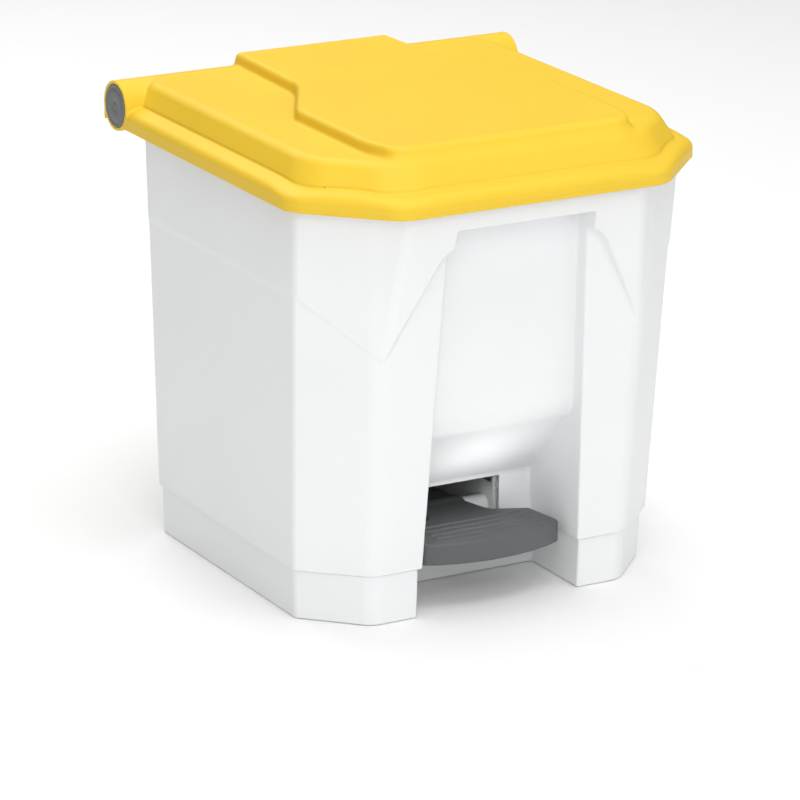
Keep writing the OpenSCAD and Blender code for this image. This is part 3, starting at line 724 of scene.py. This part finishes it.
def cap(side):
    """A hinge cap: a flat disc with a rounded edge and a faint moulded ring, and a plug behind it."""
    node = "hinge_cap_right" if side > 0 else "hinge_cap_left"
    face = half_w * MM
    r = (BORE_R - 0.15) * MM
    profile = [(0.0, 0.0), (0.0, 3.0), (-0.25, 3.3), (-0.25, 3.9), (0.0, 4.2),
               (0.0, 15.6), (-0.3, 16.0), (-0.3, 16.6), (0.0, 17.0)]
    points = [(a * MM, b * MM) for a, b in profile]
    for i in range(7):
        a = math.radians(90 * i / 6)
        points.append(((math.cos(a) - 1) * MM, r - MM + math.sin(a) * MM))
    points += [(-3 * MM, r), (-3 * MM, r - 0.3 * MM), (-13 * MM, r - 0.3 * MM),
               (-13 * MM, r - 2.8 * MM), (-3 * MM, r - 2.8 * MM), (-3 * MM, 0.0)]
    obj = lathe(node + "_turned", points, (side, 0, 0), (side * face, axis_y * MM, axis_z * MM))
    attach(obj, "lid")
    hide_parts(node)
    return obj


# ---------------------------------------------------------------- materials
def material(name, colour, rough, grain, depth, vary, metal=0.0, specular=0.5, streaks=None):
    """A moulded plastic or a plated metal: fine grain in the surface and its gloss, and a slow
    change of shade over it. grain is the noise's scale, depth the bump's strength, vary the part by
    which the shade changes, and streaks a stretch of all of them along the object's axes."""
    mat = bpy.data.materials.new(name)
    mat.use_nodes = True
    tree = mat.node_tree
    shader = tree.nodes["Principled BSDF"]
    shader.inputs["Metallic"].default_value = metal
    shader.inputs["Specular IOR Level"].default_value = specular
    place = tree.nodes.new("ShaderNodeTexCoord").outputs["Object"]
    if streaks:
        stretch = tree.nodes.new("ShaderNodeMapping")
        stretch.inputs["Scale"].default_value = streaks
        tree.links.new(place, stretch.inputs["Vector"])
        place = stretch.outputs["Vector"]

    def noise(scale, detail):
        n = tree.nodes.new("ShaderNodeTexNoise")
        n.inputs["Scale"].default_value = scale
        n.inputs["Detail"].default_value = detail
        tree.links.new(place, n.inputs["Vector"])
        return n.outputs["Fac"]

    slow = tree.nodes.new("ShaderNodeValToRGB")
    slow.color_ramp.elements[0].position = 0.3
    slow.color_ramp.elements[1].position = 0.7
    slow.color_ramp.elements[0].color = [c * (1 - vary) for c in colour] + [1]
    slow.color_ramp.elements[1].color = [min(1, c * (1 + vary)) for c in colour] + [1]
    tree.links.new(noise(9, 3), slow.inputs["Fac"])
    tree.links.new(slow.outputs["Color"], shader.inputs["Base Color"])
    gloss = tree.nodes.new("ShaderNodeMapRange")
    gloss.inputs["To Min"].default_value = rough - 0.06
    gloss.inputs["To Max"].default_value = rough + 0.06
    tree.links.new(noise(grain * 0.4, 4), gloss.inputs["Value"])
    tree.links.new(gloss.outputs["Result"], shader.inputs["Roughness"])
    bump = tree.nodes.new("ShaderNodeBump")
    bump.inputs["Strength"].default_value = depth
    bump.inputs["Distance"].default_value = 0.0002
    tree.links.new(noise(grain, 5), bump.inputs["Height"])
    tree.links.new(bump.outputs["Normal"], shader.inputs["Normal"])
    return mat


def paint(obj, mat):
    """Sets the material on the object itself, so a carried-over node's mesh stays as it is."""
    if not obj.data.materials:
        obj.data.materials.append(mat)
    for i in range(len(obj.material_slots)):
        obj.material_slots[i].link = "OBJECT"
        obj.material_slots[i].material = mat


camera()

WHITE = material("white_moulded", (0.83, 0.84, 0.845), 0.42, 1400, 0.22, 0.012)
YELLOW = material("yellow_grained", (0.83, 0.555, 0.035), 0.5, 1500, 0.35, 0.02, specular=0.3)
GREY = material("grey_moulded", (0.10, 0.104, 0.107), 0.5, 1500, 0.35, 0.04)
CAP_GREY = material("cap_grey_moulded", (0.14, 0.146, 0.145), 0.5, 1500, 0.35, 0.04)
LINER = material("liner_moulded", (0.50, 0.51, 0.52), 0.4, 900, 0.15, 0.02)
NATURAL = material("natural_acetal", (0.74, 0.71, 0.62), 0.35, 800, 0.1, 0.02)
STEEL = material("zinc_plated", (0.62, 0.63, 0.65), 0.32, 500, 0.2, 0.05, metal=1.0,
                 streaks=(1, 1, 0.15))
BLACKENED = material("blackened_spring_steel", (0.06, 0.06, 0.065), 0.38, 700, 0.2, 0.1, metal=1.0)
RUBBER = material("soft_rubber", (0.025, 0.025, 0.026), 0.7, 900, 0.5, 0.1)

# ---------------------------------------------------------------- pieces
# name, shape, node replaced, body, slot, material, mesh cell, most triangles
PIECES = (
    ("tub", tub_shape, "body_shell", "bin", "white_plastic", WHITE, 1.8, 190000),
    ("plinth", plinth_shape, "base_plinth", "bin", "white_plastic", WHITE, 1.6, 120000),
    ("liner", liner_shape, "liner_bucket", "bin", "liner_plastic", LINER, 1.35, 120000),
    ("lid", lid_shape, "lid_shell", "lid", "yellow_plastic", YELLOW, 1.6, 190000),
    ("foot_pedal", pedal_shape, "pedal", "pedal", "grey_plastic", GREY, 1.2, 90000),
)
for name, shape, node, body, slot_name, mat, cell, most in PIECES:
    lo, hi = box_mm(node)
    obj = meshed(name, shape, lo, hi, cell, most)
    paint(obj, mat)
    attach(obj, body)
    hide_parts(node)

# node, body, axis, end of that axis with the head
SCREWS = (("hinge_screws", "bin", 1, 1), ("guide_screws", "bin", 1, 1),
          ("axle_block_screws", "bin", 1, 1), ("crank_screws", "lid", 2, -1))
for node, body, axis, sign in SCREWS:
    lo, hi = box_mm(node)
    obj = meshed(node + "_cut", screw_shape(node, axis, sign), lo, hi, 0.4, 60000)
    paint(obj, STEEL)
    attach(obj, body)
    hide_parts(node)

for side in (-1, 1):
    paint(cap(side), CAP_GREY)

# node, edge radius, slot, material
SOFTENED = (
    ("hinge_bracket_left", 0.9, "white_plastic", WHITE),
    ("hinge_bracket_right", 0.9, "white_plastic", WHITE),
    ("lift_crank", 0.5, "grey_plastic", GREY),
    ("rod_fork_upper", 0.6, "grey_plastic", GREY),
    ("rod_fork_lower", 0.6, "grey_plastic", GREY),
    ("rod_guide_upper", 0.6, "natural_plastic", NATURAL),
    ("rod_guide_lower", 0.6, "natural_plastic", NATURAL),
    ("axle_block_left", 0.8, "white_plastic", WHITE),
    ("axle_block_right", 0.8, "white_plastic", WHITE),
)
for node, radius, slot_name, mat in SOFTENED:
    paint(softened(node, radius), mat)

KEPT = {
    STEEL: ("hinge_rod", "crank_pin", "lift_rod", "rod_pin", "pedal_axle"),
    BLACKENED: ("crank_pin_clip", "rod_pin_clip", "axle_clips"),
    NATURAL: ("hinge_bushes", "pedal_bushes"),
    RUBBER: ("lid_buffers",),
}
for mat, names in KEPT.items():
    for node in names:
        paint(nodes[node], mat)


# ---------------------------------------------------------------- studio
def floor():
    """A plain pale floor, just under the bin."""
    mesh = bpy.data.meshes.new("floor")
    bm = bmesh.new()
    bmesh.ops.create_grid(bm, x_segments=8, y_segments=8, size=12)
    bm.to_mesh(mesh)
    bm.free()
    obj = bpy.data.objects.new("floor", mesh)
    obj.location.z = -0.0005
    bpy.context.scene.collection.objects.link(obj)
    paint(obj, material("floor_paper", (0.94, 0.94, 0.94), 0.8, 300, 0.05, 0.004, specular=0.1))


# name, azimuth and elevation in degrees, distance and size in metres, power in watts
LAMPS = (
    ("key", -25, 30, 3, 1.6, 17.7),
    ("side", -60, 15, 3, 1.6, 2.3),
    ("top", 10, 80, 3, 2.4, 40),
    ("behind", 180, 50, 3, 2.4, 33),
    ("well", 0, -45, 0.055, 0.08, 0.02, (0, -0.105, 0.118), 130),
)
SKY = (((0, -1, 0), 0.876), ((0, 0, 1), 0.493))     # way and strength


def lamp(name, azimuth, elevation, distance, size, power, target=(0, 0, 0.2), spread=180):
    """A round soft light that looks at target from an azimuth and elevation in degrees."""
    data = bpy.data.lights.new(name, "AREA")
    data.shape = "DISK"
    data.size = size
    data.energy = power
    data.spread = math.radians(spread)
    obj = bpy.data.objects.new(name, data)
    a, e = math.radians(azimuth), math.radians(elevation)
    back = Vector((math.sin(a) * math.cos(e), -math.cos(a) * math.cos(e), math.sin(e)))
    obj.location = Vector(target) + back * distance
    obj.rotation_mode = "QUATERNION"
    obj.rotation_quaternion = (-back).to_track_quat("-Z", "Y")
    obj.visible_camera = False
    bpy.context.scene.collection.objects.link(obj)


floor()
for row in LAMPS:
    lamp(*row)


def sky():
    """A white studio, brightest in front and overhead, dark behind."""
    world = bpy.data.worlds.new("studio")
    world.use_nodes = True
    tree = world.node_tree
    place = tree.nodes.new("ShaderNodeTexCoord").outputs["Generated"]
    parts = []
    for way, strength in SKY:
        along = tree.nodes.new("ShaderNodeVectorMath")
        along.operation = "DOT_PRODUCT"
        along.inputs[1].default_value = way
        tree.links.new(place, along.inputs[0])
        part = tree.nodes.new("ShaderNodeMapRange")
        part.inputs["To Max"].default_value = strength
        tree.links.new(along.outputs["Value"], part.inputs["Value"])
        parts.append(part.outputs["Result"])
    both = tree.nodes.new("ShaderNodeMath")
    both.operation = "ADD"
    tree.links.new(parts[0], both.inputs[0])
    tree.links.new(parts[1], both.inputs[1])
    tree.links.new(both.outputs["Value"], tree.nodes["Background"].inputs["Strength"])
    tree.nodes["Background"].inputs["Color"].default_value = (1, 1, 1, 1)
    bpy.context.scene.world = world


sky()
bpy.context.scene.view_settings.view_transform = "Standard"
